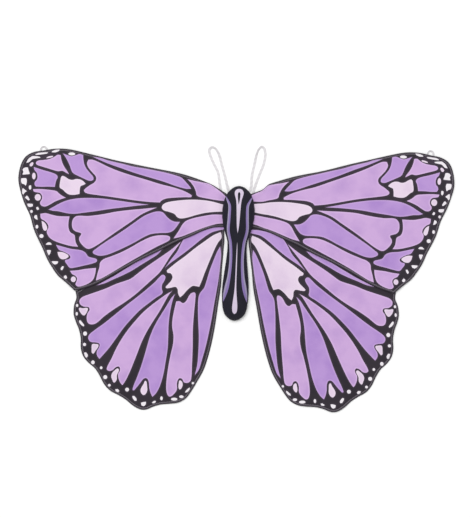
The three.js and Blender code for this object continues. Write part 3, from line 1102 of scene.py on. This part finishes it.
def body_surface(flat, front):
    """Cover points to table, in metres."""
    width, height = body_size(flat[:, 1])
    angle = np.clip(flat[:, 0] / GIRTH, -math.pi / 2, math.pi / 2)
    x = width * np.sin(angle)
    swell = np.maximum(np.cos(angle), 0) ** 0.8
    dent = 0.5 * np.sin(flat[:, 1] / 17) * np.sin(flat[:, 0] / 9 + flat[:, 1] / 23)
    if front:
        z = SEAM_HEIGHT + (height - SEAM_HEIGHT + 2.6).clip(0) * swell + dent * swell
    else:
        z = SEAM_HEIGHT - BACK_DEPTH * np.minimum(swell * 1.6, 1) * np.minimum(height / 20, 1)
    y = flat[:, 1] - BODY_PIVOT_Y
    lean_x = x * math.cos(BODY_LEAN) + y * math.sin(BODY_LEAN)
    lean_y = y * math.cos(BODY_LEAN) - x * math.sin(BODY_LEAN) + BODY_PIVOT_Y
    return np.column_stack((lean_x, lean_y, z)) / 1000


def plush(name, colour, tip):
    """Short-pile plush: dark at the root of the pile, lighter where the light grazes it."""
    material, surface = new_finish(name, 0.85, 0.2)
    surface["Sheen Roughness"].default_value = 0.35
    surface["Sheen Tint"].default_value = linear(tip)
    pile = noise(material, Scale=1500, Detail=3)
    brushed = noise(material, Scale=60, Detail=3)
    # Painted shade and highlight: fine patches coloured darker at the pile's root and lighter at its
    # tips.
    tone = mixed(material, pile, linear(colour, 0.72), linear(tip))
    shade = ranged(material, brushed, 0.35, 0.7, 0.15, 0.75)
    cover(material, surface, mixed(material, shade, tone, linear(colour)), pile, 0.6, 0.0007)
    return material


PLUSH = {
    "navy": plush("plush_navy", (24, 23, 33), (37, 37, 50)),
    "pale": plush("plush_pale", (205, 190, 214), (222, 212, 228)),
    "violet": plush("plush_violet", (130, 110, 168), (152, 132, 188)),
    "lavender": plush("plush_lavender", (150, 142, 172), (176, 166, 196)),
}


def stripe_outline(side, outer_share):
    """A stripe's outline from its centre line and widths, or only the outer share of it."""
    line = np.array(BODY_STRIPE)
    along = np.gradient(line[:, :2], axis=0)
    along = along / np.hypot(*along.T)[:, None]
    normal = np.column_stack((-along[:, 1], along[:, 0]))
    there = line[:, :2] + normal * line[:, 2:] / 2
    back = line[:, :2] + normal * line[:, 2:] * (0.5 - outer_share)
    loop = np.vstack((there, back[::-1]))
    loop[:, 0] *= side
    return [tuple(p) for p in loop]


body_print = [
    ("pale", mirrored((0, 194), KEYHOLE, (0, 98.5, CORNER))),
    ("navy", mirrored((0, 187), KEYHOLE_DROP, (0, 159, CORNER))),
    ("pale", mirrored((0, 80, CORNER), LOWER_DROP, (0, -75))),
]
for side, _ in SIDES:
    body_print.append(("violet", stripe_outline(side, 1)))
    body_print.append(("lavender", stripe_outline(side, LAVENDER_SHARE)))
body_cells = [(ink, round_the_body(smooth_outline(points, 3))) for ink, points in body_print]
half_girth = GIRTH * math.pi / 2
low_y = BODY_LOW + 0.1
high_y = BODY_HIGH - 0.1
rim_corners = [
    (-half_girth, low_y), (half_girth, low_y), (half_girth, high_y), (-half_girth, high_y),
]
next_corners = rim_corners[1:] + rim_corners[:1]
rim_steps = (39, 109, 39, 109)
body_rim = np.vstack([
    np.linspace(start, end, steps, endpoint=False)
    for start, end, steps in zip(rim_corners, next_corners, rim_steps)
])
body_cut = cut_cloth(body_rim, body_cells, BODY_GRID, list(PLUSH), BODY_HEM_ROWS)
body_back_cut = cut_cloth(body_rim, [], BODY_BACK_GRID, list(PLUSH), BODY_HEM_ROWS)


def body_panel(name, cut, front, finishes, thick):
    """One panel of the cover, with the cloth's own thickness."""
    flat, triangles, inks = cut[:3]
    outer = body_surface(flat, front)
    inward = body_surface(flat * (0, 1), front)
    inward[:, 2] = SEAM_HEIGHT / 1000
    toward = inward - outer
    reach = np.maximum(np.linalg.norm(toward, axis=1), 1e-5)[:, None]
    inner = outer + toward / reach * np.minimum(reach * 0.4, thick)
    faces, rim = both_faces(triangles if front else triangles[:, ::-1], len(flat))
    slots = list(inks) * 2 + [0] * len(rim)
    points = np.concatenate((outer, inner))
    piece = new_piece(name, points, faces, finishes, slots, np.concatenate((flat, flat)))
    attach(piece, "root")
    return piece


body_front = body_panel("body_front_cover", body_cut, True, list(PLUSH.values()), 0.0009)
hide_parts("body_front_panel", "body_stuffing")
body_back = body_panel("body_back_cover", body_back_cut, False, [PLUSH["navy"]], 0.0008)
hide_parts("body_back_panel")

# ---------- Shoulder straps ----------
# Flat white braided elastic, 6 mm wide, one loop on each side. Both ends are tacked to the
# body's back; the loop lies out past the forewing's leading edge and turns on edge at its top.
STRAP_WIDTH = 6
STRAP_THICKNESS = 0.9
STRAP_START = [(13, 162), (13, 167)]
STRAP_LOOPS = {
    -1: [
        (14.5, 177), (19, 194), (26.5, 224), (33.5, 248), (38.5, 266), (46, 280), (54, 284),
        (60.5, 278), (57, 264), (50, 248), (41, 230), (37.5, 209), (34, 188),
    ],
    1: [
        (19, 179), (30, 194), (32.5, 224), (37.5, 248), (42.5, 271), (47.5, 282), (54, 286),
        (59.5, 279.5), (60.5, 264), (56.5, 246), (49.5, 228), (41, 205), (35, 186),
    ],
}
STRAP_END = [(30.5, 162), (27, 130), (20.5, 98), (15, 77), (13, 66), (13, 60)]
BAND_STEP = 1.6
BAND_SECTION = [
    (-0.5, 0.3), (-0.46, 0.46), (-0.3, 0.5), (-0.2, 0.4), (-0.1, 0.5), (0, 0.4), (0.1, 0.5),
    (0.2, 0.4), (0.3, 0.5), (0.46, 0.46), (0.5, 0.3), (0.5, -0.3), (0.46, -0.46), (0.3, -0.5),
    (0, -0.5), (-0.3, -0.5), (-0.46, -0.46), (-0.5, -0.3),
]


def elastic_material():
    """White braided elastic: lengthwise ribs with small slanted braid stitches between them."""
    material, surface = new_finish("elastic_white", 0.8, 0.3)
    ribs = bands(material, "X", Scale=45)
    braid = bands(material, "DIAGONAL", Scale=60, Distortion=0.6)
    relief = combined(material, "ADD", ribs, braid)
    # Painted shade: the white elastic is coloured darker in the grooves between its ribs and braid
    # stitches.
    shade = ranged(material, relief, 0.2, 1.8, 0, 1)
    tone = mixed(material, shade, linear((206, 203, 206)), linear((220, 218, 220)))
    cover(material, surface, tone, relief, 0.2, 0.0002)
    return material


elastic_white = elastic_material()


def open_curve(points, step):
    """A smooth open curve through the points, at even steps."""
    doubled = [(*points[0], CORNER)] + list(points[1:-1]) + [(*points[-1], CORNER)]
    closed = smooth_outline(doubled, step)
    last = np.argmin(np.hypot(*(closed - np.array(points[-1])).T))
    line = closed[: last + 1]
    travelled = np.concatenate(([0], np.cumsum(np.hypot(*np.diff(line, axis=0).T))))
    wanted = np.linspace(0, travelled[-1], round(travelled[-1] / step) + 1)
    return np.column_stack([np.interp(wanted, travelled, line[:, k]) for k in range(2)]), wanted


def elastic_band(name, points, side, width, thick, tilt):
    """A flat band of elastic along a line on the table; tilt turns it on edge, in radians."""
    line, travelled = open_curve(points, BAND_STEP)
    along = np.gradient(line, axis=0)
    along = along / np.hypot(*along.T)[:, None]
    lean = tilt(travelled / travelled[-1])
    heights = TABLE_GAP + width / 2 * np.abs(np.sin(lean)) + thick / 2 * np.cos(lean)
    verts = []
    flat = []
    for p, direction, angle, z, way in zip(line, along, lean, heights, travelled):
        across = np.array((-direction[1], direction[0], 0)) * math.cos(angle)
        across[2] = math.sin(angle)
        raised = np.array((direction[1], -direction[0], 0)) * math.sin(angle)
        raised[2] = math.cos(angle)
        for a, b in BAND_SECTION:
            verts.append(np.array((*p, z)) + across * a * width + raised * b * thick)
            flat.append((a * width, way))
    verts = np.array(verts) / 1000
    verts[:, 0] *= side
    faces = tube_faces(len(line), len(BAND_SECTION))
    if side < 0:
        faces = [f[::-1] for f in faces]
    return new_piece(name, verts, faces, [elastic_white], flat=np.array(flat))


def strap_tilt(share):
    """Flat at both ends, half on edge where the loop turns back."""
    return 0.75 * np.exp(-(((share - 0.33) / 0.05) ** 2))


for side, word in SIDES:
    strap_line = STRAP_START + STRAP_LOOPS[side] + STRAP_END
    strap = elastic_band(
        f"{word}_shoulder_elastic", strap_line, side, STRAP_WIDTH, STRAP_THICKNESS, strap_tilt
    )
    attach(strap, f"{word}_strap")
    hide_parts(f"{word}_shoulder_strap")

# ---------- Finger loops ----------
# A short loop of narrower elastic, 4.6 mm wide, sewn to the lining near each wing tip.
FINGER_X = 418
FINGER_TOP_Y = 275
FINGER_BAND = (4.6, 0.8)
finger_leg = [(6.5, 264.5), (6.5, 270), (6.2, FINGER_TOP_Y)]
finger_line = [(FINGER_X - x, y) for x, y in finger_leg]
for degrees in (30, 60, 90, 120, 150):
    a = math.radians(degrees)
    finger_line.append((FINGER_X - 6.2 * math.cos(a), FINGER_TOP_Y + 6.4 * math.sin(a)))
finger_line += [(FINGER_X + x, y) for x, y in reversed(finger_leg)]


def finger_tilt(share):
    """Flat at both ends, partly on edge at the top of the loop."""
    return 0.6 * np.sin(share * math.pi) ** 2


for side, word in SIDES:
    loop = elastic_band(f"{word}_finger_elastic", finger_line, side, *FINGER_BAND, finger_tilt)
    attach(loop, f"{word}_tip_loop")
    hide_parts(f"{word}_finger_loop")

# ---------- Tacks ----------
# Where an elastic ends it is folded under and held by a dense bar of white thread.
BAR_STITCHES = 9
BAR_LENGTH = 0.0028
BAR_WIDTH = 0.0005
BAR_SLANT = np.array((0.35, 1, 0))
thread_white = thread_material("thread_white", (228, 226, 230))
for _, word in SIDES:
    for part, body in (
        ("strap_upper_tack", "root"),
        ("strap_lower_tack", "root"),
        ("finger_loop_tack", f"{word}_forewing"),
    ):
        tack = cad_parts[f"{word}_{part}"]
        tack.data.materials.clear()
        tack.data.materials.append(elastic_white)
        low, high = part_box(f"{word}_{part}")
        centres = []
        for k in range(BAR_STITCHES):
            x = low[0] + (high[0] - low[0]) * (0.15 + 0.7 * k / (BAR_STITCHES - 1))
            centres.append(np.array((x, (low[1] + high[1]) / 2, low[2] + 0.00002)))
        slants = [BAR_SLANT] * BAR_STITCHES
        bar = stitch_mesh(
            f"{word}_{part}_stitches", centres, slants, BAR_LENGTH, BAR_WIDTH, thread_white
        )
        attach(bar, body)

# ---------- Care label ----------
# A small blank woven label, caught in a seam of the body's back.
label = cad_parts["care_label"]
label_woven, label_surface = new_finish("label_woven", 0.75, 0.1)
picks = bands(label_woven, "Y", "Object", Scale=110)
cover(label_woven, label_surface, linear((236, 234, 238)), picks, 0.3, 0.0002)
label.data.materials.clear()
label.data.materials.append(label_woven)
